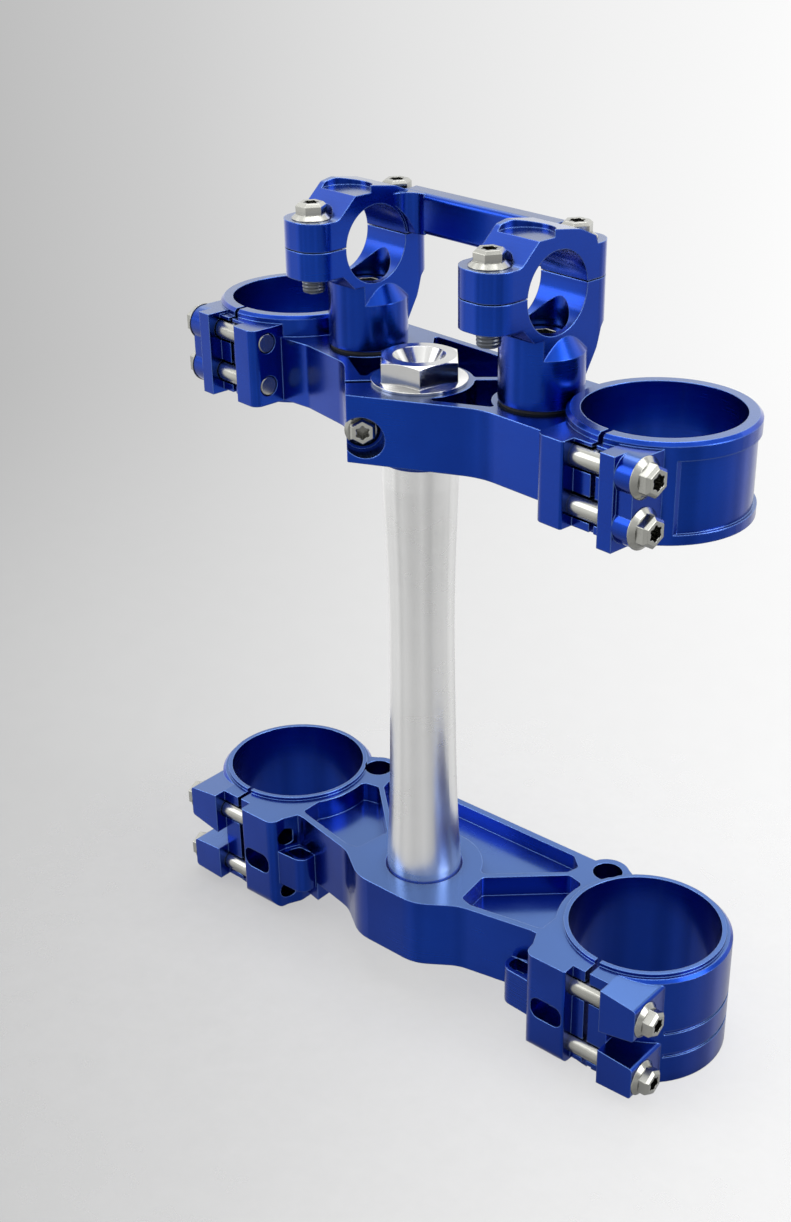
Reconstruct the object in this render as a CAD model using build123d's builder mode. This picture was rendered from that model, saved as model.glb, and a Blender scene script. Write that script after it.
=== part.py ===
# Motorcycle triple clamp: lower fork clamp with steering stem, upper fork clamp, handlebar mounts.
# Origin on the steering axis at the stem's lower mouth, X to the bike's right, Y to its front, Z up.
# All sizes are in millimetres.
import math
import os

from build123d import *

os.makedirs("parts", exist_ok=True)

# Layout of the two clamps
fork_spacing = 186.0
fork_offset = 22.0
lower_height = 50.0
rim_distance = 213.7
upper_turn = -7.0
fit_clearance = 0.05
seat_clearance = 0.02

# Lower clamp
lower_bore_r = 29.5
lower_ring_r = 33.8
lower_lip = 1.5
lower_lip_wall = 1.8
lower_web_depth = 29.5
lower_shoulder_depth = 38.5
lower_boss_depth = 45.0
lower_boss_rear = -21.0
lower_boss_round = 5.0
lower_neck_rear = -15.5
boss_recess_width = 14.4
boss_recess_shift = 0.3
boss_recess_height = 9.5
boss_recess_drop = 24.8
boss_recess_depth = 9.0
ledge_top = 17.0
ledge_height = 16.5
ledge_start = 53.2
ledge_rear = -17.5
ledge_pocket_depth = 6.0
lower_front = 45.3
lower_rim_wall = 3.0
side_pocket_depth = 9.0
front_pocket_depth = 7.0
fender_hole_r = 6.0
fender_lug_r = 8.8
fender_x = 62.0
fender_y = 42.0
fender_corner = 7.6
ring_groove_depth = 0.7
ring_groove_width = 1.6
ring_groove_drops = (25.5, 36.5)
slit_width = 2.0
slit_reach = 10.0
lower_slit_x = fork_spacing / 2 - 0.5
upper_slit_x = fork_spacing / 2 + 0.9
ring_edge = 1.2
sector_reach = 45.0
sector_rear = -15.0
sector_front = 70.0
sector_inner = 5.0
slot_r = 4.6

# Steering stem
stem_foot_r = 15.0
stem_journal_r = 14.0
stem_top_r = 13.0
stem_taper_start = 2.0
stem_waist = ((13.7, 28.0), (12.8, 75.0), (12.5, 118.0), (13.4, 150.0))
stem_journal_drop = 46.0
stem_shoulder_drop = 37.7
stem_bolt_gap = 1.0
stem_hole_r = 10.0
stem_flange_r = 18.5
stem_flange_height = 3.0
stem_thread_r = 9.0
stem_boss_rear = -24.8
stem_boss_half = 15.0
stem_boss_blend = 18.0
arm_blend_x = 30.0
stem_boss_land = 24.0
stem_seat_chamfer = 0.9

# Upper clamp
upper_bore_r = 27.0
upper_ring_r = 31.8
upper_ring_height = 34.5
upper_step = 8.0
upper_body_depth = 25.0
upper_front = 42.0
upper_pocket_depth = 11.0
panel_depth = 1.2
top_lip = 6.0
bottom_lip = 3.5
upper_boss_r = 19.5
pocket_corner = 2.5
wide_pocket_corner = 5.5
upper_pocket_corner = 1.2

# Stem pinch at the upper clamp
pinch_angle = -40.0
pinch_offset = 20.8
pinch_drop = 23.3
pinch_seat = 6.9
pinch_counterbore_r = 7.6
pinch_slit = 2.5

# Fork pinch bosses: inboard face, notch start, lug start, lug end, measured from the steering axis
lower_boss_x = 69.0
lower_notch_x = 86.0
lower_lug_x = 102.0
lower_lug_end = 117.5
lower_bolt_y = -14.0
lower_bolt_drops = (11.0, lower_height - 11.5)
upper_boss_x = 73.5
upper_notch_x = 85.5
upper_lug_x = 101.0
upper_lug_end = 113.5
upper_boss_rear = -18.0
upper_boss_top = 3.0
upper_boss_rise = 1.2
upper_neck_rear = -12.6
upper_bolt_y = -11.2
upper_lug_block = 6.0
upper_bolt_drops = (8.8, 25.8)
lug_wall = 6.8
lug_front = 6.0

# Height of each lower lug's upper and lower edge from its bolt, at the inboard and outboard end
lower_lug_edges = (((9.5, 7.7), (-9.6, -6.4)), ((8.9, 7.9), (-6.8, -6.1)))

# Collar bolts; the shares give head sizes from the shank's or the collar's radius
pinch_bolt_r = 4.0
collar_height_share = 0.45
head_height_share = 1.42
head_flats_share = 1.36
head_chamfer_share = 0.26
socket_share = 0.41
socket_depth_share = 1.15
skirt_rim = 0.3
skirt_taper = 50.0
collar_share = 1.78
upper_pinch_bolt_length = 40.0
lower_pinch_bolt_length = 40.0
stem_pinch_bolt_r = 3.0
stem_pinch_collar_share = 2.15
stem_pinch_bolt_length = 25.0
bar_bolt_r = 4.0
bar_bolt_length = 26.8
thread_clearance = 0.02
hole_clearance = 0.3

# Stem bolt
stem_bolt_flats = 27.0
stem_bolt_flange_r = 17.4
stem_bolt_flange = 2.0
stem_bolt_height = 9.5
stem_bolt_turn = 10.4
stem_bolt_shank = 22.0
stem_bolt_hole_r = 6.0
stem_bolt_dish_r = 9.4
stem_bolt_dish = 5.0

# Handlebar mounts and clamp
mount_spacing = 89.4
mount_width = 21.3
bar_r = 14.3
bar_y = 10.8
bar_height = 32.6
bar_bolt_spacing = 41.0
ear_radius = 8.8
seam_gap = 0.4
seam_height = bar_height + 1.0
post_y = 15.3
post_r = 15.0
post_shoulder = 6.4
post_shoulder_taper = 34.0
post_rubber = 1.2
rear_ear_bottom = bar_height - 9.3
front_ear_bottom = bar_height - 12.9
saddle_bottom = bar_height - 22.0
bar_hole_bottom = bar_height - 16.0
ear_gusset = 5.5
flare_bottom = bar_height - 31.6
cap_ear_top = bar_height + 11.3
cap_front_top = bar_height + 13.0
cap_crown = bar_height + 21.4
scoop_floor = bar_height + 18.7
scoop_r = 10.0
scoop_x = 1.5
scoop_y = 4.3
bridge_rear = 26.9
bridge_depth = 9.0
bridge_bottom = bar_height + 1.6
bridge_top = bar_height + 16.6
bridge_blend = 8.0
bar_relief = 1.0

# Rubber bushings and the bolt through each mount
mount_bolt_r = 5.0
mount_bolt_head_r = 8.0
mount_bolt_head = 8.0
mount_counterbore_r = 8.6
mount_counterbore_floor = bar_height - 24.6
bush_r = 11.0
bush_length = 7.0
bush_gap = 0.4
lower_bush_r = 13.0
lower_bush_flange = 2.5
lower_recess_r = 13.5
lower_recess_depth = 12.0
washer_thickness = 2.0
washer_r = 12.5
mount_nut_flats = 16.0
mount_nut_height = 7.0

fork_x = fork_spacing / 2
mount_x = mount_spacing / 2
rim_height = stem_flange_height + lower_web_depth + lower_lip
upper_height = rim_height + rim_distance


def clamp_plane(height, turn=0.0):
    """Level plane at a height, on the steering axis and turned about it."""
    angle = math.radians(turn)
    return Plane(origin=(0, 0, height), x_dir=(math.cos(angle), math.sin(angle), 0), z_dir=(0, 0, 1))


lower = clamp_plane(rim_height)
upper = clamp_plane(upper_height, upper_turn)


def across(frame, x):
    """Upright plane that faces along a clamp's width; its own axes are the clamp's depth and height."""
    return Plane(origin=frame.from_local_coords((x, 0, 0)), x_dir=frame.y_dir, z_dir=frame.x_dir)


def bolt_seat(frame, x, y, z, side):
    """Plane under a bolt head that faces outboard on one side of a clamp."""
    origin = frame.from_local_coords((side * x, y, z))
    return Plane(origin=origin, x_dir=frame.z_dir, z_dir=frame.x_dir * side)


def mirrored(points, side):
    return [(side * x, y) for x, y in points]


def outline(plane, points, radii, side=1):
    """Closed outline with rounded corners, drawn on the right and mirrored for the left."""
    with BuildSketch(plane) as sketch:
        with BuildLine():
            FilletPolyline(*mirrored(points, side), radius=radii, close=True)
        make_face()
    return sketch.sketch


def pocket(plane, points, lands, corner, side=1, wide=()):
    """Pocket outline kept clear of round lands, with rounded corners, some of them wide."""
    with BuildSketch(plane) as sketch:
        with BuildLine():
            Polyline(*mirrored(points, side), close=True)
        make_face()
        for x, y, radius in lands:
            with Locations((side * x, y)):
                Circle(radius, mode=Mode.SUBTRACT)
        wide_spots = [plane.from_local_coords((side * x, y, 0)) for x, y in wide]
        wide_corners = [sketch.vertices().sort_by_distance(spot)[0] for spot in wide_spots]
        fillet([each for each in sketch.vertices() if each not in wide_corners], corner)
        for spot in wide_spots:
            fillet(sketch.vertices().sort_by_distance(spot)[0], wide_pocket_corner)
    return sketch.sketch


def corner_sliver(plane, corner, radius):
    """Sliver between a square lower rear corner and its rounding."""
    centre = (corner[0] + radius, corner[1] + radius)
    with BuildSketch(plane) as sketch:
        with Locations((corner[0] + radius / 2, corner[1] + radius / 2)):
            Rectangle(radius, radius)
        with Locations(centre):
            Circle(radius, mode=Mode.SUBTRACT)
    return sketch.sketch


def disc(plane, x, y, radius):
    with BuildSketch(plane) as sketch:
        with Locations((x, y)):
            Circle(radius)
    return sketch.sketch


def box_face(plane, x1, x2, y1, y2):
    """Rectangle between two corners, given in any order."""
    with BuildSketch(plane) as sketch:
        with Locations(((x1 + x2) / 2, (y1 + y2) / 2)):
            Rectangle(abs(x2 - x1), abs(y2 - y1))
    return sketch.sketch


def star_socket(plane, radius):
    """Six lobed drive socket."""
    with BuildSketch(plane) as sketch:
        Circle(radius * 0.8)
        with PolarLocations(radius * 0.75, 6):
            Circle(radius * 0.25)
    return sketch.sketch


def collar_bolt(seat, shank_r, length, collar_r, name):
    """Hexagon bolt with a sloping collar and a star socket; the shank runs down from its seat."""
    collar = shank_r * collar_height_share
    head = shank_r * head_height_share
    flats = collar_r * head_flats_share
    bolt_axis = Axis(seat.origin, seat.z_dir)
    with BuildPart() as bolt:
        extrude(disc(seat, 0, 0, collar_r), amount=skirt_rim)
        extrude(disc(seat.offset(skirt_rim), 0, 0, collar_r), amount=collar - skirt_rim, taper=skirt_taper)
        with BuildSketch(seat):
            RegularPolygon(radius=flats / 2, side_count=6, major_radius=False)
        extrude(amount=head)
        chamfer(bolt.edges().group_by(bolt_axis)[-1], shank_r * head_chamfer_share)
        extrude(
            star_socket(seat.offset(head), collar_r * socket_share),
            amount=-shank_r * socket_depth_share,
            mode=Mode.SUBTRACT,
        )
        extrude(disc(seat, 0, 0, shank_r), amount=-length)
        chamfer(bolt.edges().group_by(bolt_axis)[0], shank_r * 0.15)
    bolt.part.label = name
    export_step(bolt.part, f"parts/{name}.step")


# Lower clamp outlines, right half, seen from above
web_top = -lower_lip
web_bottom = web_top - lower_web_depth
rear_outer = (60.7, -8.6)
rear_slope = 0.195
lower_web = [
    (0, lower_front),
    (fender_x - 4, lower_front),
    (fender_x + 4, fender_y + fender_corner),
    (fork_x - 20, fender_y + 3.5),
    (fork_x, fork_offset),
    (lower_boss_x + 4, rear_outer[1]),
    rear_outer,
    (arm_blend_x, rear_outer[1] - (rear_outer[0] - arm_blend_x) * rear_slope),
    (stem_boss_half, stem_boss_rear),
    (0, stem_boss_rear),
]
lower_web_radii = [0, 0, 0, 0, 0, 0, 0, stem_boss_blend, stem_boss_blend, 0]
lower_shoulder = [
    (52, 38),
    (66, 38),
    (72, 10),
    (67, rear_outer[1] + 0.5),
    rear_outer,
    (52, rear_outer[1] - 1.7),
]
lower_boss = [
    (rear_outer[0] + 3, 4),
    (rear_outer[0] + 3, rear_outer[1]),
    (lower_boss_x - 2.5, lower_bolt_y - 0.5),
    (lower_boss_x - 1.5, lower_boss_rear),
    (lower_notch_x, lower_boss_rear),
    (lower_notch_x, 4),
]
lower_ledge = [
    (ledge_start, 0),
    (ledge_start, ledge_rear),
    (lower_boss_x + 3, ledge_rear - 1),
    (lower_boss_x + 3, 0),
]
ledge_pocket = [
    (ledge_start + 1.7, rear_outer[1] - 1),
    (ledge_start + 1.7, ledge_rear + 1.7),
    (lower_boss_x - 3.6, ledge_rear + 1.3),
    (lower_boss_x - 6.8, rear_outer[1] - 1),
]
side_pocket = [
    (27.6, -9.8),
    (25.4, 6.3),
    (51.5, 30.2),
    (66, 27),
    (70, 5),
    (63.5, -5.2),
    (33, -11),
]
front_pocket = [
    (45.2, lower_front - lower_rim_wall),
    (51.2, 37),
    (49.6, 31.4),
    (22, 6.6),
    (-22, 6.6),
    (-49.6, 31.4),
    (-51.2, 37),
    (-45.2, lower_front - lower_rim_wall),
]
fork_land = (fork_x, fork_offset, lower_ring_r + 0.5)


def outer_sector(start):
    """Region about a fork ring, outboard of x = start and clear of the lugs."""
    far = fork_x + sector_reach
    return [
        (start, sector_rear),
        (far, sector_rear),
        (far, sector_front),
        (fork_x + sector_inner, sector_front),
        (fork_x + sector_inner, fork_offset),
        (start, fork_offset),
    ]


def shank_slot(plane, y, drop, rear):
    """Round slot along a bolt shank, open to the rear, in a clamp's side view."""
    with BuildSketch(plane) as sketch:
        with Locations((y, -drop)):
            Circle(slot_r)
        with Locations(((y + rear) / 2, -drop)):
            Rectangle(y - rear, 2 * slot_r)
    return sketch.sketch


def slit(plane, x, rear):
    """Clamp slit seen from above, from inside the fork bore out past the rear face."""
    return box_face(plane, x - slit_width / 2, x + slit_width / 2, fork_offset - slit_reach, rear - 2)


def ring_cut(plane, outer, inner, sector, side):
    """Part of a ring's outer skin, inside a sector that keeps clear of the lugs."""
    with BuildSketch(plane) as sketch:
        with Locations((side * fork_x, fork_offset)):
            Circle(outer)
            Circle(inner, mode=Mode.SUBTRACT)
        with BuildLine():
            Polyline(*mirrored(sector, side), close=True)
        make_face(mode=Mode.INTERSECT)
    return sketch.sketch


with BuildPart() as lower_clamp:
    for side in (-1, 1):
        extrude(outline(lower.offset(web_top), lower_web, lower_web_radii, side), amount=-lower_web_depth)
        extrude(outline(lower.offset(web_top), lower_shoulder, 0, side), amount=-lower_shoulder_depth)
        extrude(disc(lower.offset(web_top), side * fender_x, fender_y, fender_lug_r), amount=-lower_web_depth)
    # Pockets beside the stem boss and along the front
    for side in (-1, 1):
        extrude(
            pocket(lower.offset(web_top), side_pocket, [fork_land], pocket_corner, side, [side_pocket[5]]),
            amount=-side_pocket_depth,
            mode=Mode.SUBTRACT,
        )
    extrude(
        pocket(lower.offset(web_top), front_pocket, [(0, 0, stem_boss_land)], pocket_corner),
        amount=-front_pocket_depth,
        mode=Mode.SUBTRACT,
    )
    for side in (-1, 1):
        ring = disc(lower.offset(web_top - ring_edge), side * fork_x, fork_offset, lower_ring_r)
        extrude(ring, amount=lower_lip + ring_edge - lower_height)
        extrude(ring, amount=ring_edge, taper=45)
        lip = disc(lower.offset(web_top), side * fork_x, fork_offset, lower_bore_r + lower_lip_wall)
        extrude(lip, amount=lower_lip)
        boss = outline(lower.offset(web_top), lower_boss, [0, 3, 2, 4, 1, 0], side)
        extrude(boss, amount=-lower_boss_depth)
        extrude(
            corner_sliver(
                across(lower, side * ledge_start),
                (lower_boss_rear, web_top - lower_boss_depth),
                lower_boss_round,
            ),
            amount=side * (lower_notch_x - ledge_start),
            mode=Mode.SUBTRACT,
        )
        # Ledge inboard of the boss with its shallow pocket, and the recess in the boss's rear face
        extrude(outline(lower.offset(-ledge_top), lower_ledge, [0, 5, 0, 0], side), amount=-ledge_height)
        extrude(
            outline(lower.offset(-ledge_top), ledge_pocket, [1.5, 3, 2, 1.5], side),
            amount=-ledge_pocket_depth,
            mode=Mode.SUBTRACT,
        )
        rear_face = Plane(
            origin=lower.from_local_coords((0, lower_boss_rear, -boss_recess_drop)),
            x_dir=lower.x_dir,
            z_dir=-lower.y_dir,
        )
        with BuildSketch(rear_face) as recess_sketch:
            with Locations((side * ((lower_boss_x + lower_notch_x) / 2 + boss_recess_shift), 0)):
                RectangleRounded(boss_recess_width, boss_recess_height, boss_recess_height * 0.4)
        extrude(recess_sketch.sketch, amount=-boss_recess_depth, mode=Mode.SUBTRACT)
        # Neck between boss and lugs, with a round slot along each shank, then the two outer lugs
        neck = box_face(
            lower.offset(web_top),
            side * lower_notch_x,
            side * lower_lug_x,
            lower_neck_rear,
            lug_front,
        )
        extrude(neck, amount=-(lower_bolt_drops[1] + lug_wall + web_top))
        for drop in lower_bolt_drops:
            slot = shank_slot(across(lower, side * lower_notch_x), lower_bolt_y, drop, lower_boss_rear)
            extrude(slot, amount=side * (lower_lug_x - lower_notch_x), mode=Mode.SUBTRACT)
        rear_view = Plane(
            origin=lower.from_local_coords((0, lower_boss_rear, 0)),
            x_dir=lower.x_dir,
            z_dir=-lower.y_dir,
        )
        for drop, (above, below) in zip(lower_bolt_drops, lower_lug_edges):
            lug = [
                (lower_lug_x, above[0] - drop),
                (lower_lug_end, above[1] - drop),
                (lower_lug_end, below[1] - drop),
                (lower_lug_x, below[0] - drop),
            ]
            extrude(outline(rear_view, lug, [0, 1.5, 1.5, 0], side), amount=-(lug_front - lower_boss_rear))
        for drop in ring_groove_drops:
            extrude(
                ring_cut(
                    lower.offset(-drop),
                    lower_ring_r + 2,
                    lower_ring_r - ring_groove_depth,
                    outer_sector(lower_lug_end + 0.5),
                    side,
                ),
                amount=-ring_groove_width,
                mode=Mode.SUBTRACT,
            )
        extrude(
            disc(lower, side * fork_x, fork_offset, lower_bore_r),
            amount=-lower_height,
            mode=Mode.SUBTRACT,
        )
        extrude(slit(lower, side * lower_slit_x, lower_boss_rear), amount=-lower_height, mode=Mode.SUBTRACT)
        extrude(
            disc(lower, side * fender_x, fender_y, fender_hole_r),
            amount=-lower_height,
            mode=Mode.SUBTRACT,
        )
        for drop in lower_bolt_drops:
            seat = bolt_seat(lower, lower_lug_end, lower_bolt_y, -drop, side)
            extrude(
                disc(seat, 0, 0, pinch_bolt_r + hole_clearance),
                amount=-(lower_lug_end - lower_notch_x),
                mode=Mode.SUBTRACT,
            )
            extrude(
                disc(seat, 0, 0, pinch_bolt_r + thread_clearance),
                amount=-(lower_lug_end - lower_boss_x + 4),
                mode=Mode.SUBTRACT,
            )
    extrude(disc(lower, 0, 0, stem_foot_r + seat_clearance), amount=-lower_height, mode=Mode.SUBTRACT)
    seat_mouth = disc(lower.offset(web_top - stem_seat_chamfer), 0, 0, stem_foot_r)
    extrude(seat_mouth, amount=stem_seat_chamfer, taper=-45, mode=Mode.SUBTRACT)
lower_clamp.part.label = "lower_clamp"
export_step(lower_clamp.part, "parts/lower_clamp.step")

# Steering stem: foot pressed into the lower clamp, waisted tube, journal and top end
stem_underside = rim_height + web_bottom
stem_end = upper_height - upper_step - stem_bolt_gap
stem_shoulder = upper_height - stem_shoulder_drop
stem_thread_start = stem_end - stem_bolt_shank
with BuildPart() as steering_stem:
    with BuildSketch(Plane.XZ):
        with BuildLine():
            foot = Polyline(
                (stem_hole_r, stem_underside - stem_flange_height),
                (stem_flange_r, stem_underside - stem_flange_height),
                (stem_flange_r, stem_underside),
                (stem_foot_r, stem_underside),
                (stem_foot_r, rim_height + stem_taper_start),
            )
            waist = Spline(
                foot @ 1,
                *[(radius, rim_height + height) for radius, height in stem_waist],
                (stem_journal_r, upper_height - stem_journal_drop),
            )
            Polyline(
                waist @ 1,
                (stem_journal_r, stem_shoulder),
                (stem_top_r, stem_shoulder + stem_journal_r - stem_top_r),
                (stem_top_r, stem_end),
                (stem_thread_r, stem_end),
                (stem_thread_r, stem_thread_start),
                (stem_hole_r, stem_thread_start - stem_hole_r + stem_thread_r),
                foot @ 0,
            )
        make_face()
    revolve(axis=Axis.Z)
steering_stem.part.label = "steering_stem"
export_step(steering_stem.part, "parts/steering_stem.step")

# Stem bolt: flange on the upper clamp, dished hexagon head, hollow shank in the stem
bolt_seat_height = upper_height - upper_step
with BuildPart() as stem_bolt:
    with BuildSketch(Plane.XZ):
        with BuildLine():
            Polyline(
                (0, bolt_seat_height),
                (stem_bolt_flange_r, bolt_seat_height),
                (stem_bolt_flange_r, bolt_seat_height + stem_bolt_flange * 0.5),
                (stem_bolt_flats / 2, bolt_seat_height + stem_bolt_flange),
                (0, bolt_seat_height + stem_bolt_flange),
                close=True,
            )
        make_face()
    revolve(axis=Axis.Z)
    with BuildSketch(Plane.XY.offset(bolt_seat_height)):
        RegularPolygon(stem_bolt_flats / 2, 6, major_radius=False, rotation=stem_bolt_turn)
    extrude(amount=stem_bolt_height)
    chamfer_top = stem_bolt_flats / 2 * 0.985
    with BuildSketch(Plane.XZ):
        with BuildLine():
            Polyline(
                (chamfer_top, bolt_seat_height + stem_bolt_height + 1),
                (chamfer_top, bolt_seat_height + stem_bolt_height),
                (stem_bolt_flange_r, bolt_seat_height + stem_bolt_height - 1.6),
                (stem_bolt_flange_r, bolt_seat_height + stem_bolt_height + 1),
                close=True,
            )
        make_face()
    revolve(axis=Axis.Z, mode=Mode.SUBTRACT)
    extrude(
        disc(Plane.XY.offset(bolt_seat_height), 0, 0, stem_thread_r - seat_clearance),
        amount=-stem_bolt_shank,
    )
    with BuildSketch(Plane.XZ):
        with BuildLine():
            Polyline(
                (0, bolt_seat_height + stem_bolt_height + 1),
                (stem_bolt_dish_r, bolt_seat_height + stem_bolt_height + 1),
                (stem_bolt_dish_r, bolt_seat_height + stem_bolt_height),
                (stem_bolt_hole_r, bolt_seat_height + stem_bolt_height - stem_bolt_dish),
                (stem_bolt_hole_r, bolt_seat_height - stem_bolt_shank - 1),
                (0, bolt_seat_height - stem_bolt_shank - 1),
                close=True,
            )
        make_face()
    revolve(axis=Axis.Z, mode=Mode.SUBTRACT)
stem_bolt.part.label = "stem_bolt"
export_step(stem_bolt.part, "parts/stem_bolt.step")

# Upper clamp outlines, in its own turned frame
body_top = -upper_step
body_bottom = body_top - upper_body_depth
arm_rear = -5.8
pinch_apex = (-6.5, -29.2)
upper_body = [
    (-fork_x + 30, upper_front),
    (fork_x - 30, upper_front),
    (fork_x, upper_front - 10),
    (fork_x, 2),
    (upper_boss_x, arm_rear + 2.7),
    (upper_boss_x - 6.5, arm_rear),
    (37, arm_rear),
    pinch_apex,
    (-33.3, arm_rear - 0.9),
    (-59, arm_rear + 2.5),
    (-upper_boss_x, arm_rear + 1.5),
    (-fork_x, 2),
    (-fork_x, upper_front - 10),
]
upper_body_radii = [0, 0, 0, 0, 0, 8, 25, 0.8, 15, 8, 0, 0, 0]
upper_boss = [
    (upper_boss_x, 4),
    (upper_boss_x, upper_boss_rear),
    (upper_notch_x, upper_boss_rear),
    (upper_notch_x, 4),
]
upper_side_pocket = [
    (12, 12.4),
    (28, 28.9),
    (40, 24),
    (42, 0.8),
    (19, -11.5),
    (13, -9),
]
upper_front_pocket = [
    (33.8, upper_front - lower_rim_wall),
    (8, 12.4),
    (-8, 12.4),
    (-33.8, upper_front - lower_rim_wall),
]
pinch_radians = math.radians(pinch_angle)
pinch_direction = upper.x_dir * math.cos(pinch_radians) + upper.y_dir * math.sin(pinch_radians)
pinch_side = upper.x_dir * math.sin(pinch_radians) - upper.y_dir * math.cos(pinch_radians)
pinch_origin = upper.from_local_coords((0, 0, -pinch_drop)) + pinch_side * pinch_offset
pinch_plane = Plane(
    origin=pinch_origin + pinch_direction * pinch_seat,
    x_dir=upper.z_dir,
    z_dir=pinch_direction,
)
slit_plane = Plane(origin=(0, 0, upper_height), x_dir=pinch_side, z_dir=(0, 0, 1))

with BuildPart() as upper_clamp:
    extrude(outline(upper.offset(body_top), upper_body, upper_body_radii), amount=-upper_body_depth)
    for side in (-1, 1):
        extrude(
            pocket(
                upper.offset(body_top),
                upper_side_pocket,
                [(0, 0, upper_boss_r), (mount_x, post_y, post_r + 2)],
                upper_pocket_corner,
                side,
            ),
            amount=-upper_pocket_depth,
            mode=Mode.SUBTRACT,
        )
    stem_land = (0, 0, upper_boss_r)
    extrude(
        pocket(upper.offset(body_top), upper_front_pocket, [stem_land], upper_pocket_corner),
        amount=-upper_pocket_depth,
        mode=Mode.SUBTRACT,
    )
    for side in (-1, 1):
        ring = disc(upper.offset(-ring_edge), side * fork_x, fork_offset, upper_ring_r)
        extrude(ring, amount=ring_edge - upper_ring_height)
        extrude(ring, amount=ring_edge, taper=45)
        extrude(
            outline(upper.offset(-upper_boss_top), upper_boss, [0, 3.5, 0.8, 0], side),
            amount=-(upper_ring_height - upper_boss_top - upper_boss_rise),
        )
        # Outer lug: a plain block, then a round lobe about each bolt
        lug_block = box_face(
            across(upper, side * upper_lug_x),
            upper_bolt_y - lug_wall,
            lug_front,
            lug_wall - upper_bolt_drops[0],
            -upper_ring_height,
        )
        extrude(lug_block, amount=side * upper_lug_block)
        with BuildSketch(across(upper, side * upper_lug_x)) as lug_sketch:
            with Locations((upper_bolt_y, -upper_bolt_drops[0]), (upper_bolt_y, -upper_bolt_drops[1])):
                Circle(lug_wall)
            bolt_gap = upper_bolt_drops[1] - upper_bolt_drops[0]
            mid_height = -(upper_bolt_drops[0] + upper_bolt_drops[1]) / 2
            with Locations(((upper_bolt_y + lug_front) / 2, mid_height)):
                Rectangle(lug_front - upper_bolt_y, bolt_gap + 2 * lug_wall)
            with Locations((upper_bolt_y, mid_height)):
                Rectangle(2 * lug_wall - 3, bolt_gap)
        extrude(lug_sketch.sketch, amount=side * (upper_lug_end - upper_lug_x))
        neck = box_face(
            upper.offset(-upper_boss_top),
            side * upper_notch_x,
            side * upper_lug_x,
            upper_neck_rear,
            lug_front,
        )
        extrude(neck, amount=-(upper_ring_height - upper_boss_top - upper_boss_rise))
        for drop in upper_bolt_drops:
            slot = shank_slot(across(upper, side * upper_notch_x), upper_bolt_y, drop, upper_boss_rear)
            extrude(slot, amount=side * (upper_lug_x - upper_notch_x), mode=Mode.SUBTRACT)
        panel = ring_cut(
            upper.offset(-top_lip),
            upper_ring_r + 2,
            upper_ring_r - panel_depth,
            outer_sector(upper_lug_end + 3),
            side,
        )
        extrude(panel, amount=-(upper_ring_height - top_lip - bottom_lip), mode=Mode.SUBTRACT)
        extrude(
            disc(upper, side * fork_x, fork_offset, upper_bore_r),
            amount=-upper_ring_height,
            mode=Mode.SUBTRACT,
        )
        extrude(
            slit(upper, side * upper_slit_x, upper_boss_rear),
            amount=-upper_ring_height,
            mode=Mode.SUBTRACT,
        )
        for drop in upper_bolt_drops:
            seat = bolt_seat(upper, upper_lug_end, upper_bolt_y, -drop, side)
            extrude(
                disc(seat, 0, 0, pinch_bolt_r + hole_clearance),
                amount=-(upper_lug_end - upper_notch_x),
                mode=Mode.SUBTRACT,
            )
            extrude(
                disc(seat, 0, 0, pinch_bolt_r + thread_clearance),
                amount=-(upper_lug_end - upper_boss_x + 5),
                mode=Mode.SUBTRACT,
            )
        # Hole and lower recess for the rubber bushings
        extrude(
            disc(upper.offset(body_top), side * mount_x, post_y, bush_r),
            amount=-upper_body_depth,
            mode=Mode.SUBTRACT,
        )
        extrude(
            disc(upper.offset(body_bottom), side * mount_x, post_y, lower_recess_r),
            amount=lower_recess_depth,
            mode=Mode.SUBTRACT,
        )
    # Stem bore, slit and the pinch bolt's counterbore and hole
    extrude(
        disc(upper.offset(body_top), 0, 0, stem_top_r + fit_clearance),
        amount=-upper_body_depth,
        mode=Mode.SUBTRACT,
    )
    extrude(
        box_face(slit_plane.offset(body_top), stem_top_r - 2, 45, -pinch_slit / 2, pinch_slit / 2),
        amount=-upper_body_depth,
        mode=Mode.SUBTRACT,
    )
    extrude(disc(pinch_plane, 0, 0, pinch_counterbore_r), amount=40, mode=Mode.SUBTRACT)
    extrude(
        disc(pinch_plane, 0, 0, stem_pinch_bolt_r + thread_clearance),
        amount=-(stem_pinch_bolt_length + 2),
        mode=Mode.SUBTRACT,
    )
upper_clamp.part.label = "upper_clamp"
export_step(upper_clamp.part, "parts/upper_clamp.step")

# Pinch bolts of both clamps
side_names = {-1: "left", 1: "right"}
level_names = ("upper", "lower")
pinch_collar_r = pinch_bolt_r * collar_share
bar_collar_r = bar_bolt_r * collar_share
for side, side_name in side_names.items():
    for drop, level in zip(lower_bolt_drops, level_names):
        seat = bolt_seat(lower, lower_lug_end, lower_bolt_y, -drop, side)
        name = f"lower_clamp_bolt_{side_name}_{level}"
        collar_bolt(seat, pinch_bolt_r, lower_pinch_bolt_length, pinch_collar_r, name)
    for drop, level in zip(upper_bolt_drops, level_names):
        seat = bolt_seat(upper, upper_lug_end, upper_bolt_y, -drop, side)
        name = f"upper_clamp_bolt_{side_name}_{level}"
        collar_bolt(seat, pinch_bolt_r, upper_pinch_bolt_length, pinch_collar_r, name)
stem_pinch_collar_r = stem_pinch_bolt_r * stem_pinch_collar_share
collar_bolt(pinch_plane, stem_pinch_bolt_r, stem_pinch_bolt_length, stem_pinch_collar_r, "stem_pinch_bolt")

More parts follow.
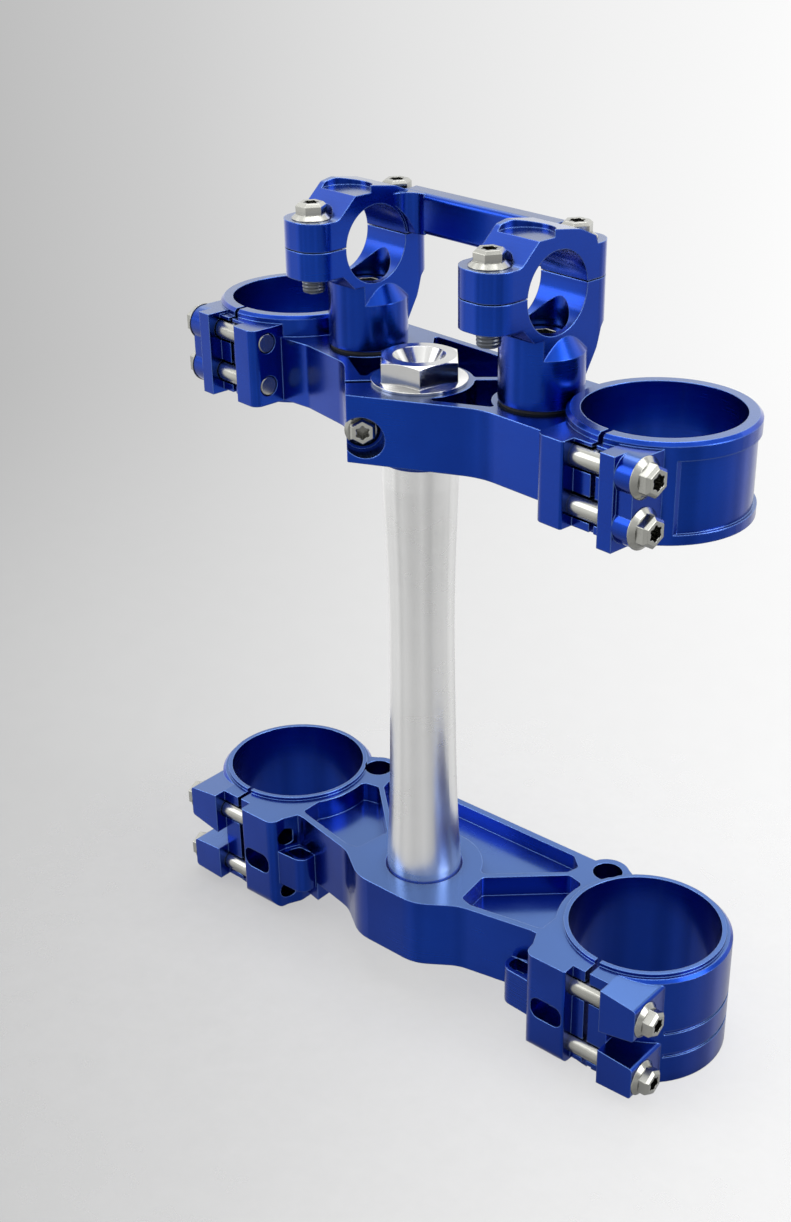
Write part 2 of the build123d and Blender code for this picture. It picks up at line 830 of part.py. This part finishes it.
# Handlebar mounts: saddle on a round post, in the upper clamp's frame
bar_bolt_ys = (bar_y - 0.6 - bar_bolt_spacing / 2, bar_y - 0.6 + bar_bolt_spacing / 2)
ear_rear = bar_bolt_ys[0] - ear_radius
ear_front = bar_bolt_ys[1] + ear_radius
post_bottom = body_top + post_rubber
mount_side_profile = [
    (ear_rear - 1, seam_height - seam_gap / 2),
    (ear_rear - 1, rear_ear_bottom),
    (post_y - post_r - ear_gusset, rear_ear_bottom),
    (post_y - post_r, rear_ear_bottom - ear_gusset),
    (post_y - post_r, saddle_bottom),
    (post_y, saddle_bottom),
    (post_y, flare_bottom),
    (post_y + post_r - 4.6, flare_bottom),
    (post_y + post_r + 0.3, flare_bottom + 8.5),
    (post_y + post_r + 2.8, front_ear_bottom - 2.7),
    (ear_front + 1, front_ear_bottom),
    (ear_front + 1, seam_height - seam_gap / 2),
]
mount_side_radii = [0, 1, 1.5, 3, 0, 0, 0, 0, 8, 3, 1, 0]
cap_side_profile = [
    (ear_rear - 1, seam_height + seam_gap / 2),
    (ear_rear - 1, cap_ear_top),
    (bar_bolt_ys[0] + 3.6, cap_ear_top),
    (bar_y - 7.5, cap_crown - 0.9),
    (bar_y - 2.5, cap_crown),
    (bar_y + 10, cap_crown - 2),
    (bar_bolt_ys[1] - 2.2, cap_crown - 5.6),
    (bar_bolt_ys[1] - 1.2, cap_front_top),
    (ear_front + 1, cap_front_top),
    (ear_front + 1, seam_height + seam_gap / 2),
]


def ear_plan(plane, side):
    """Plan of a mount or cap: straight sides with rounded ears about the bolts."""
    with BuildSketch(plane) as sketch:
        with Locations((side * mount_x, (ear_rear + ear_front) / 2)):
            RectangleRounded(mount_width, ear_front - ear_rear, ear_radius)
    return sketch.sketch


for side, side_name in side_names.items():
    with BuildPart() as bar_mount:
        mount_top = seam_height - seam_gap / 2
        extrude(ear_plan(upper.offset(flare_bottom), side), amount=mount_top - flare_bottom)
        profile = outline(across(upper, side * mount_x), mount_side_profile, mount_side_radii)
        extrude(profile, amount=mount_width, both=True, mode=Mode.INTERSECT)
        # Below the gusset of the rear ear the saddle's back follows the round post
        with BuildSketch(upper.offset(flare_bottom)) as back:
            with Locations((side * mount_x, post_y - post_r)):
                Rectangle(2 * post_r, 2 * post_r)
            with Locations((side * mount_x, post_y)):
                Circle(post_r, mode=Mode.SUBTRACT)
        back_top = rear_ear_bottom - ear_gusset
        extrude(back.sketch, amount=back_top - flare_bottom, mode=Mode.SUBTRACT)
        post = disc(upper.offset(saddle_bottom), side * mount_x, post_y, post_r)
        extrude(post, amount=post_bottom - saddle_bottom)
        extrude(post, amount=post_shoulder, taper=post_shoulder_taper)
        extrude(
            disc(across(upper, side * mount_x), bar_y, bar_height, bar_r),
            amount=mount_width,
            both=True,
            mode=Mode.SUBTRACT,
        )
        extrude(
            disc(upper.offset(mount_counterbore_floor), side * mount_x, post_y, mount_counterbore_r),
            amount=bar_height,
            mode=Mode.SUBTRACT,
        )
        extrude(
            disc(upper.offset(post_bottom), side * mount_x, post_y, mount_bolt_r + hole_clearance),
            amount=bar_height,
            mode=Mode.SUBTRACT,
        )
        for y in bar_bolt_ys:
            extrude(
                disc(upper.offset(bar_hole_bottom), side * mount_x, y, bar_bolt_r + thread_clearance),
                amount=bar_height,
                mode=Mode.SUBTRACT,
            )
    bar_mount.part.label = f"bar_mount_{side_name}"
    export_step(bar_mount.part, f"parts/bar_mount_{side_name}.step")

with BuildPart() as handlebar_clamp:
    for side in (-1, 1):
        with BuildPart(mode=Mode.PRIVATE) as cap:
            extrude(ear_plan(upper.offset(seam_height + seam_gap / 2), side), amount=cap_crown)
            profile = outline(
                across(upper, side * mount_x),
                cap_side_profile,
                [0, 1, 4, 2.5, 6, 6, 0.5, 0.5, 1, 0],
            )
            extrude(profile, amount=mount_width, both=True, mode=Mode.INTERSECT)
        add(cap.part)
    with BuildSketch(across(upper, -mount_x)):
        with Locations((bridge_rear + bridge_depth / 2, (bridge_bottom + bridge_top) / 2)):
            RectangleRounded(bridge_depth, bridge_top - bridge_bottom, 2)
    extrude(amount=mount_spacing)
    for side in (-1, 1):
        # Concave blend between each cap's inner side and the bridge, and the scoop in the crown
        inner_side = mount_x - mount_width / 2
        blend_place = (side * (inner_side - bridge_blend / 2 + 0.5), bridge_rear - bridge_blend / 2 + 0.5)
        with BuildSketch(upper.offset(bridge_bottom)) as blend:
            with Locations(blend_place):
                Rectangle(bridge_blend + 1, bridge_blend + 1)
            with Locations((side * (inner_side - bridge_blend), bridge_rear - bridge_blend)):
                Circle(bridge_blend, mode=Mode.SUBTRACT)
        extrude(blend.sketch, amount=bridge_top - bridge_bottom)
        scoop = disc(upper.offset(scoop_floor), side * mount_x + scoop_x, scoop_y, scoop_r)
        extrude(scoop, amount=cap_crown, mode=Mode.SUBTRACT)
        # Bar bore through the cap, and clearance for the bar where the blend reaches past it
        extrude(
            disc(across(upper, side * mount_x), bar_y, bar_height, bar_r),
            amount=mount_width / 2,
            both=True,
            mode=Mode.SUBTRACT,
        )
        extrude(
            disc(across(upper, side * inner_side), bar_y, bar_height, bar_r + bar_relief),
            amount=-side * (bridge_blend + 1),
            mode=Mode.SUBTRACT,
        )
        for y, seat_height in zip(bar_bolt_ys, (cap_ear_top, cap_front_top)):
            extrude(
                disc(upper.offset(seat_height), side * mount_x, y, bar_bolt_r * collar_share + 0.4),
                amount=cap_crown,
                mode=Mode.SUBTRACT,
            )
            extrude(
                disc(upper.offset(bar_height), side * mount_x, y, bar_bolt_r + hole_clearance),
                amount=cap_crown,
                mode=Mode.SUBTRACT,
            )
handlebar_clamp.part.label = "handlebar_clamp"
export_step(handlebar_clamp.part, "parts/handlebar_clamp.step")

for side, side_name in side_names.items():
    for y, seat_height, place in zip(bar_bolt_ys, (cap_ear_top, cap_front_top), ("rear", "front")):
        seat = Plane(
            origin=upper.from_local_coords((side * mount_x, y, seat_height)),
            x_dir=upper.x_dir,
            z_dir=upper.z_dir,
        )
        length = bar_bolt_length + seat_height - cap_ear_top
        collar_bolt(seat, bar_bolt_r, length, bar_collar_r, f"bar_bolt_{side_name}_{place}")

# Rubber bushings, washer, bolt and nut that hold each mount
bush_split = body_top - bush_length
recess_floor = body_bottom + lower_recess_depth
washer_top = recess_floor - lower_bush_flange
nut_top = washer_top - washer_thickness
for side, side_name in side_names.items():
    centre = (side * mount_x, post_y)
    with BuildPart() as upper_bushing:
        extrude(disc(upper.offset(body_top), *centre, post_r - 0.6), amount=post_rubber)
        extrude(disc(upper.offset(body_top), *centre, bush_r - fit_clearance), amount=-bush_length)
        extrude(
            disc(upper.offset(bush_split), *centre, mount_bolt_r + hole_clearance),
            amount=bush_length + post_rubber,
            mode=Mode.SUBTRACT,
        )
    upper_bushing.part.label = f"upper_bushing_{side_name}"
    export_step(upper_bushing.part, f"parts/upper_bushing_{side_name}.step")

    with BuildPart() as lower_bushing:
        extrude(disc(upper.offset(recess_floor), *centre, lower_bush_r), amount=-lower_bush_flange)
        extrude(
            disc(upper.offset(recess_floor), *centre, bush_r - fit_clearance),
            amount=bush_split - bush_gap - recess_floor,
        )
        extrude(
            disc(upper.offset(washer_top), *centre, mount_bolt_r + hole_clearance),
            amount=body_top - washer_top,
            mode=Mode.SUBTRACT,
        )
    lower_bushing.part.label = f"lower_bushing_{side_name}"
    export_step(lower_bushing.part, f"parts/lower_bushing_{side_name}.step")

    with BuildPart() as mount_washer:
        extrude(disc(upper.offset(washer_top), *centre, washer_r), amount=-washer_thickness)
        extrude(
            disc(upper.offset(nut_top), *centre, mount_bolt_r + hole_clearance),
            amount=washer_thickness,
            mode=Mode.SUBTRACT,
        )
    mount_washer.part.label = f"mount_washer_{side_name}"
    export_step(mount_washer.part, f"parts/mount_washer_{side_name}.step")

    with BuildPart() as mount_nut:
        with BuildSketch(upper.offset(nut_top)):
            with Locations(centre):
                RegularPolygon(mount_nut_flats / 2, 6, major_radius=False)
                Circle(mount_bolt_r + thread_clearance, mode=Mode.SUBTRACT)
        extrude(amount=-mount_nut_height)
    mount_nut.part.label = f"mount_nut_{side_name}"
    export_step(mount_nut.part, f"parts/mount_nut_{side_name}.step")

    with BuildPart() as mount_bolt:
        head_foot = disc(upper.offset(mount_counterbore_floor), *centre, mount_bolt_head_r)
        extrude(head_foot, amount=mount_bolt_head)
        chamfer(mount_bolt.edges().group_by(Axis.Z)[-1], 0.6)
        with BuildSketch(upper.offset(mount_counterbore_floor + mount_bolt_head)):
            with Locations(centre):
                RegularPolygon(mount_bolt_r * 0.8, 6, major_radius=False)
        extrude(amount=-mount_bolt_head * 0.6, mode=Mode.SUBTRACT)
        extrude(
            disc(upper.offset(mount_counterbore_floor), *centre, mount_bolt_r),
            amount=nut_top - mount_nut_height - mount_counterbore_floor,
        )
    mount_bolt.part.label = f"mount_bolt_{side_name}"
    export_step(mount_bolt.part, f"parts/mount_bolt_{side_name}.step")
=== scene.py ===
import math

import bpy
from mathutils import Matrix, Vector


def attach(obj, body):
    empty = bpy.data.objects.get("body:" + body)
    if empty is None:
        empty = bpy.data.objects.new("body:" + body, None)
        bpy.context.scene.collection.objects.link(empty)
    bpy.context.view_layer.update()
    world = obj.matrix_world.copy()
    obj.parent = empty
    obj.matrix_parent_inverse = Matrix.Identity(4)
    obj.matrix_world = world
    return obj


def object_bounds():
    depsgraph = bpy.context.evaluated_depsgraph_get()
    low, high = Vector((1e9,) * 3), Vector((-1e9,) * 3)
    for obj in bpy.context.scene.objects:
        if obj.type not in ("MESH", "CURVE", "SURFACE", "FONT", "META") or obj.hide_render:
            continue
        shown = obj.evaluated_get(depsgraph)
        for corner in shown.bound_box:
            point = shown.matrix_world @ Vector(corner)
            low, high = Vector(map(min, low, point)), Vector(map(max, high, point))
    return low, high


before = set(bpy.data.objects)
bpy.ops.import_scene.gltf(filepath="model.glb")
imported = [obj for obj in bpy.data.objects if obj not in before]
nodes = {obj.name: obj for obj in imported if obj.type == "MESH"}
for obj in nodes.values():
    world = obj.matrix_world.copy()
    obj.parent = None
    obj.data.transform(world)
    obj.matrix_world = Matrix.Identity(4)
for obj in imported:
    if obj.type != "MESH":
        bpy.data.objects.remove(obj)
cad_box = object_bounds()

scene = bpy.context.scene
scene.view_settings.view_transform = "Standard"

# Camera at the photograph's viewing angle, in the part's frame
camera_yaw = math.radians(-41.387)
camera_pitch = math.radians(26.865)
camera_roll = math.radians(0.996)
camera_place = Vector((0.368292, -0.433021, 0.435844))
camera_lens = 49.43
camera_sensor = 36
camera_near = 0.01
camera_far = 50


def camera_axes(yaw, pitch, roll):
    """Right, down and forward directions of the camera."""
    forward = Vector(
        (math.sin(yaw) * math.cos(pitch), math.cos(yaw) * math.cos(pitch), -math.sin(pitch))
    )
    right = Vector((math.cos(yaw), -math.sin(yaw), 0))
    down = forward.cross(right)
    turned_right = right * math.cos(roll) + down * math.sin(roll)
    turned_down = down * math.cos(roll) - right * math.sin(roll)
    return turned_right, turned_down, forward


right, down, forward = camera_axes(camera_yaw, camera_pitch, camera_roll)
camera_data = bpy.data.cameras.new("camera")
camera_data.lens = camera_lens
camera_data.sensor_width = camera_sensor
camera_data.clip_start = camera_near
camera_data.clip_end = camera_far
camera = bpy.data.objects.new("camera", camera_data)
camera.matrix_world = Matrix(
    (
        (right.x, -down.x, -forward.x, camera_place.x),
        (right.y, -down.y, -forward.y, camera_place.y),
        (right.z, -down.z, -forward.z, camera_place.z),
        (0, 0, 0, 1),
    )
)
scene.collection.objects.link(camera)
scene.camera = camera


class Nodes:
    """Short way to add and link shader nodes in one tree."""

    def __init__(self, tree):
        self.tree = tree
        tree.nodes.clear()

    def add(self, kind, inputs=None, **settings):
        node = self.tree.nodes.new(kind)
        for key, value in settings.items():
            setattr(node, key, value)
        for key, value in (inputs or {}).items():
            socket = node.inputs[key]
            if isinstance(key, str):
                socket = [each for each in node.inputs if each.name == key and each.enabled][0]
            if isinstance(value, bpy.types.NodeSocket):
                self.tree.links.new(value, socket)
            else:
                socket.default_value = value
        return node

    def math(self, operation, a, b):
        return self.add("ShaderNodeMath", {0: a, 1: b}, operation=operation).outputs[0]

    def multiply(self, colour, factor):
        return self.add(
            "ShaderNodeVectorMath", {0: colour, 1: factor}, operation="MULTIPLY"
        ).outputs["Vector"]

    def dot(self, a, b):
        return self.add("ShaderNodeVectorMath", {0: a, 1: b}, operation="DOT_PRODUCT").outputs["Value"]

    def blend(self, factor, a, b):
        """Colour a at factor zero and colour b at factor one."""
        return self.add("ShaderNodeMix", {"Factor": factor, "A": a, "B": b}, data_type="RGBA").outputs[2]

    def ramp(self, factor, stops):
        """Colour ramp through pairs of a position and a colour."""
        node = self.add("ShaderNodeValToRGB", {"Fac": factor})
        elements = node.color_ramp.elements
        while len(elements) > 1:
            elements.remove(elements[-1])
        elements[0].position, elements[0].color = stops[0]
        for position, colour in stops[1:]:
            elements.new(position).color = colour
        return node.outputs["Color"]

    def scaled(self, vector, scale):
        return self.add("ShaderNodeMapping", {"Vector": vector, "Scale": scale}).outputs[0]

    def noise(self, vector, scale, detail, roughness=0.5):
        return self.add(
            "ShaderNodeTexNoise",
            {"Vector": vector, "Scale": scale, "Detail": detail, "Roughness": roughness},
        ).outputs["Fac"]

    def between(self, value, start, end, low=0.0, high=1.0, curve="LINEAR"):
        """Low up to start, high from end on, and a steady change between them."""
        return self.add(
            "ShaderNodeMapRange",
            {"Value": value, "From Min": start, "From Max": end, "To Min": low, "To Max": high},
            interpolation_type=curve,
        ).outputs["Result"]

    def spread(self, factor, low, high):
        """The middle of a noise's range, brought to low and high."""
        return self.between(factor, 0.3, 0.7, low, high)


def grey(value):
    return (value, value, value, 1)


def new_material(name):
    """Material with an empty node tree, and the means to fill it."""
    material = bpy.data.materials.new(name)
    material.use_nodes = True
    return material, Nodes(material.node_tree)


# Tones of the pale ground from left to right of the view, and how far to each side they reach
backdrop_tones = (0.49, 0.61, 0.76, 0.88, 0.98)
backdrop_reach = 0.24
ambient_tone = 0.8
ambient_strength = 0.75


def studio_world():
    """Pale ground as the camera sees it, and a studio with soft panels of light as the part mirrors it."""
    world = bpy.data.worlds.new("studio")
    world.use_nodes = True
    make = Nodes(world.node_tree)
    direction = make.add("ShaderNodeTexCoord").outputs["Generated"]
    across_view = make.dot(direction, (math.cos(camera_yaw), -math.sin(camera_yaw), 0))
    along_view = make.dot(direction, (math.sin(camera_yaw), math.cos(camera_yaw), 0))
    height = make.add("ShaderNodeSeparateXYZ", {"Vector": direction}).outputs["Z"]
    last_tone = len(backdrop_tones) - 1
    backdrop = make.ramp(
        make.between(across_view, -backdrop_reach, backdrop_reach),
        [(i / last_tone, grey(tone)) for i, tone in enumerate(backdrop_tones)],
    )
    far_side = make.between(along_view, -0.7, 0.6, 0.72, 1.0, "SMOOTHSTEP")
    ceiling = make.between(height, 0.15, 0.6, 0.0, 0.35, "SMOOTHSTEP")
    ground_shade = make.between(height, -0.9, 0.05, 0.3, 1.0, "SMOOTHSTEP")
    panels = make.spread(make.noise(make.scaled(direction, (1.6, 1.6, 0.35)), 2.4, 1.0), 0.62, 1.42)
    room = make.math("MULTIPLY", make.math("ADD", far_side, ceiling), ground_shade)
    studio = make.math("MULTIPLY", room, panels)
    rays = make.add("ShaderNodeLightPath")
    ambient = make.add(
        "ShaderNodeBackground", {"Color": grey(ambient_tone), "Strength": ambient_strength}
    )
    mirrored = make.add("ShaderNodeBackground", {"Color": studio, "Strength": 1.0})
    seen = make.add("ShaderNodeBackground", {"Color": backdrop, "Strength": 1.0})
    mix_gloss = make.add(
        "ShaderNodeMixShader",
        {0: rays.outputs["Is Glossy Ray"], 1: ambient.outputs[0], 2: mirrored.outputs[0]},
    )
    mix_seen = make.add(
        "ShaderNodeMixShader",
        {0: rays.outputs["Is Camera Ray"], 1: mix_gloss.outputs[0], 2: seen.outputs[0]},
    )
    make.add("ShaderNodeOutputWorld", {"Surface": mix_seen.outputs[0]})
    return world


scene.world = studio_world()

# Middle of the part, which every lamp faces
part_middle = Vector((0, 0, 0.14))


def softbox(name, place, width, depth, power):
    """Large soft lamp that faces the part."""
    data = bpy.data.lights.new(name, "AREA")
    data.shape = "RECTANGLE"
    data.size = width
    data.size_y = depth
    data.energy = power
    lamp = bpy.data.objects.new(name, data)
    lamp.location = place
    lamp.rotation_mode = "QUATERNION"
    lamp.rotation_quaternion = (part_middle - Vector(place)).to_track_quat("-Z", "Y")
    scene.collection.objects.link(lamp)


softbox("lamp_top", (-0.25, 0.35, 1.5), 1.1, 1.1, 9)
softbox("lamp_right", (1.35, 0.3, 0.75), 0.7, 1.0, 8)
softbox("lamp_left", (-1.0, -1.0, 0.9), 0.8, 0.8, 5)

# Floor under the lower rings, which keeps the shadow and fades into the pale ground
floor_drop = 0.0005
floor_radius = 1.1
floor_sides = 64
floor_solid_to = 0.12
floor_clear_from = floor_radius - 0.2
floor_cover = 0.3


def floor_paper():
    """Pale paper that is partly see-through under the part and wholly so near the floor's rim."""
    material, make = new_material("floor_paper")
    place = make.add("ShaderNodeTexCoord").outputs["Object"]
    reach = make.add("ShaderNodeVectorMath", {0: place}, operation="LENGTH").outputs["Value"]
    cover = make.between(reach, floor_solid_to, floor_clear_from, floor_cover, 0.0, "SMOOTHSTEP")
    grain = make.noise(place, 90.0, 3.0)
    tone = make.ramp(make.spread(grain, 0.0, 1.0), [(0.0, grey(0.78)), (1.0, grey(0.82))])
    paper = make.add("ShaderNodeBsdfDiffuse", {"Color": tone})
    clear = make.add("ShaderNodeBsdfTransparent")
    mix = make.add("ShaderNodeMixShader", {0: cover, 1: clear.outputs[0], 2: paper.outputs[0]})
    make.add("ShaderNodeOutputMaterial", {"Surface": mix.outputs[0]})
    return material


floor_turns = [math.tau * i / floor_sides for i in range(floor_sides)]
floor_rim = [
    (floor_radius * math.cos(turn), floor_radius * math.sin(turn), cad_box[0].z - floor_drop)
    for turn in floor_turns
]
floor_mesh = bpy.data.meshes.new("floor")
floor_mesh.from_pydata(floor_rim, [], [list(range(floor_sides))])
floor_mesh.materials.append(floor_paper())
floor = bpy.data.objects.new("floor", floor_mesh)
scene.collection.objects.link(floor)


def rounded_edge(make, radius):
    """Normal that rolls over sharp edges, as a deburred edge does."""
    return make.add("ShaderNodeBevel", {"Radius": radius}, samples=6).outputs["Normal"]


def edge_mask(make, normal):
    """One on an edge and zero on a face, from how far the rolled normal leans."""
    true_normal = make.add("ShaderNodeNewGeometry").outputs["True Normal"]
    return make.between(make.dot(normal, true_normal), 0.99, 0.86)


def painted_cavity_shade(make, reach, depth):
    """Painted shade: one in the open, falling towards 1 - depth in sockets, slits and inner corners, where
    shade falls.
    """
    shade = make.add("ShaderNodeAmbientOcclusion", {"Distance": reach}, samples=6).outputs["AO"]
    return make.math("ADD", make.math("MULTIPLY", shade, depth), 1 - depth)


# Blue dye from dark to light, a painted top light that makes level faces paler, and a painted highlight on
# edges
blue_dark = (0.002, 0.036, 0.33, 1)
blue_middle = (0.002, 0.043, 0.375, 1)
blue_light = (0.003, 0.052, 0.43, 1)
blue_painted_top_light = (0.075, 0.15, 0.3, 1)
blue_painted_edge_highlight = (0.22, 0.38, 0.8, 1)
# Shares of the painted top light on level faces and of the painted highlight on edges
painted_top_light_share = 0.68
painted_edge_highlight_share = 0.6


def blue_anodised():
    """Dyed aluminium under a thin clear coat, with fine milling streaks."""
    material, make = new_material("blue_anodised_aluminium")
    place = make.add("ShaderNodeTexCoord").outputs["Object"]
    cloud = make.noise(place, 22.0, 3.0)
    fine = make.noise(place, 900.0, 2.0)
    streak = make.noise(make.scaled(place, (60, 60, 1400)), 1.0, 2.0)
    tint = make.ramp(
        make.spread(cloud, 0.0, 1.0), [(0.0, blue_dark), (0.5, blue_middle), (1.0, blue_light)]
    )
    rolled = rounded_edge(make, 0.0006)
    edge = edge_mask(make, rolled)
    # Painted light: level faces are painted paler, as a milled face under open sky looks when lit from
    # above
    normal = make.add("ShaderNodeNewGeometry").outputs["Normal"]
    upward = make.add("ShaderNodeSeparateXYZ", {"Vector": normal}).outputs["Z"]
    top_lit_tint = make.blend(make.between(upward, 0.7, 0.98, 0.0, painted_top_light_share), tint, blue_painted_top_light)
    # Painted highlight: edges are painted a lighter blue, where a chamfer would catch the light
    bright = make.blend(make.math("MULTIPLY", edge, painted_edge_highlight_share), top_lit_tint, blue_painted_edge_highlight)
    # Painted shade darkens the blue in sockets, slits and inner corners
    coloured = make.multiply(bright, painted_cavity_shade(make, 0.005, 0.45))
    rough = make.math("ADD", make.spread(cloud, 0.2, 0.26), make.spread(streak, -0.02, 0.03))
    relief = make.math("ADD", make.math("MULTIPLY", streak, 0.6), make.math("MULTIPLY", fine, 0.5))
    bump = make.add(
        "ShaderNodeBump",
        {"Height": relief, "Strength": 0.1, "Distance": 0.0002, "Normal": rolled},
    ).outputs["Normal"]
    shader = make.add(
        "ShaderNodeBsdfPrincipled",
        {
            "Base Color": coloured,
            "Metallic": 1.0,
            "Roughness": rough,
            "Coat Weight": 0.75,
            "Coat Roughness": 0.14,
            "Coat IOR": 1.24,
            "Normal": bump,
        },
    )
    make.add("ShaderNodeOutputMaterial", {"Surface": shader.outputs[0]})
    return material


def turned_metal(name, dark, light, low_rough, high_rough, edge_radius, cavity_shade_depth):
    """Bright metal, its gloss varying in fine rings about the part's upright axis."""
    material, make = new_material(name)
    place = make.add("ShaderNodeTexCoord").outputs["Object"]
    rings = make.noise(make.scaled(place, (8, 8, 120)), 1.0, 4.0, 0.6)
    cloud = make.noise(place, 40.0, 3.0)
    metal = make.ramp(make.spread(cloud, 0.0, 1.0), [(0.0, dark), (1.0, light)])
    rough = make.math(
        "ADD", make.spread(rings, low_rough, high_rough), make.spread(cloud, -0.02, 0.03)
    )
    shader = make.add(
        "ShaderNodeBsdfPrincipled",
        {
            # Painted shade darkens the metal in hollows, by the given depth
            "Base Color": make.multiply(metal, painted_cavity_shade(make, 0.004, cavity_shade_depth)),
            "Metallic": 1.0,
            "Roughness": rough,
            "Normal": rounded_edge(make, edge_radius),
        },
    )
    make.add("ShaderNodeOutputMaterial", {"Surface": shader.outputs[0]})
    return material


def black_rubber():
    """Dull black rubber with a fine grain."""
    material, make = new_material("black_rubber")
    place = make.add("ShaderNodeTexCoord").outputs["Object"]
    grain = make.noise(place, 1500.0, 3.0)
    cloud = make.noise(place, 60.0, 2.0)
    tint = make.ramp(
        make.spread(cloud, 0.0, 1.0), [(0.0, (0.012, 0.012, 0.013, 1)), (1.0, (0.028, 0.027, 0.027, 1))]
    )
    bump = make.add(
        "ShaderNodeBump", {"Height": grain, "Strength": 0.3, "Distance": 0.0003}
    ).outputs["Normal"]
    shader = make.add(
        "ShaderNodeBsdfPrincipled",
        {"Base Color": tint, "Roughness": make.spread(grain, 0.55, 0.75), "Normal": bump},
    )
    make.add("ShaderNodeOutputMaterial", {"Surface": shader.outputs[0]})
    return material


blue = blue_anodised()
bare = turned_metal(
    "bare_turned_aluminium", (0.9, 0.9, 0.89, 1), (0.94, 0.94, 0.93, 1), 0.27, 0.29, 0.0, 0.0
)
steel = turned_metal(
    "bright_steel", (0.4, 0.4, 0.37, 1), (0.52, 0.52, 0.48, 1), 0.18, 0.24, 0.0004, 0.9
)
polished = turned_metal(
    "polished_stem_bolt", (0.62, 0.62, 0.61, 1), (0.74, 0.74, 0.73, 1), 0.14, 0.18, 0.0004, 0.5
)
# Painted shade: the bar bolts' threads get a darker steel than the bolts, standing for the shade below the
# mounts' ears
thread_steel_painted_shade = turned_metal(
    "painted_shade_thread_steel", (0.1, 0.11, 0.13, 1), (0.16, 0.17, 0.19, 1), 0.3, 0.36, 0.0, 0.0
)
rubber = black_rubber()


def finish_of(name):
    """Material of a solid, from its name."""
    if "bushing" in name:
        return rubber
    if name == "steering_stem":
        return bare
    if name == "stem_bolt":
        return polished
    if "bolt" in name or "washer" in name or "nut" in name:
        return steel
    return blue


for name in nodes:
    mesh_materials = nodes[name].data.materials
    mesh_materials.clear()
    mesh_materials.append(finish_of(name))

# Threads on the bar bolts' ends, where they stand out below the mounts' ears. Heights are above the
# upper clamp's rim, and y is measured from the steering axis along the turned clamp.
clamp_turn = math.radians(-7)
upper_rim = 0.2477
bar_bolt_x = 0.0447
thread_bottom = 0.0175
thread_gap = 0.0001
ear_threads = {"rear": (-0.0103, 0.0233), "front": (0.0307, 0.0197)}
thread_pitch = 0.00125
thread_root = 0.00401
thread_crest = 0.00426
thread_steps = 8
thread_sides = 40


def threaded_sleeve(name, start, direction, length, body):
    """Fine screw thread around a shank, from start along direction."""
    rows = max(2, int(length / thread_pitch * thread_steps))
    verts = []
    for i in range(rows + 1):
        along = length * i / rows
        for k in range(thread_sides):
            turn = k / thread_sides
            wave = (along / thread_pitch - turn) % 1.0
            rise = 1 - abs(2 * wave - 1)
            ends = min(1.0, along / thread_pitch, (length - along) / thread_pitch)
            radius = thread_root + (thread_crest - thread_root) * rise * ends
            angle = math.tau * turn
            verts.append((radius * math.cos(angle), radius * math.sin(angle), along))
    faces = []
    for row in range(0, rows * thread_sides, thread_sides):
        above = row + thread_sides
        for k in range(thread_sides):
            following = (k + 1) % thread_sides
            faces.append((row + k, row + following, above + following, above + k))
    mesh = bpy.data.meshes.new(name)
    mesh.from_pydata(verts, [], faces)
    mesh.polygons.foreach_set("use_smooth", [True] * len(faces))
    # Steel darkened as painted shade
    mesh.materials.append(thread_steel_painted_shade)
    piece = bpy.data.objects.new(name, mesh)
    scene.collection.objects.link(piece)
    turned = Vector(direction).to_track_quat("Z", "X").to_matrix().to_4x4()
    piece.matrix_world = Matrix.Translation(start) @ turned
    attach(piece, body)


upper_place = Matrix.Translation((0, 0, upper_rim)) @ Matrix.Rotation(clamp_turn, 4, "Z")
for side, side_name in {-1: "left", 1: "right"}.items():
    for end_name, (y, top) in ear_threads.items():
        start = upper_place @ Vector((side * bar_bolt_x, y, top - thread_gap))
        length = top - thread_bottom - thread_gap
        threaded_sleeve(f"bar_bolt_thread_{side_name}_{end_name}", start, (0, 0, -1), length, "upper")
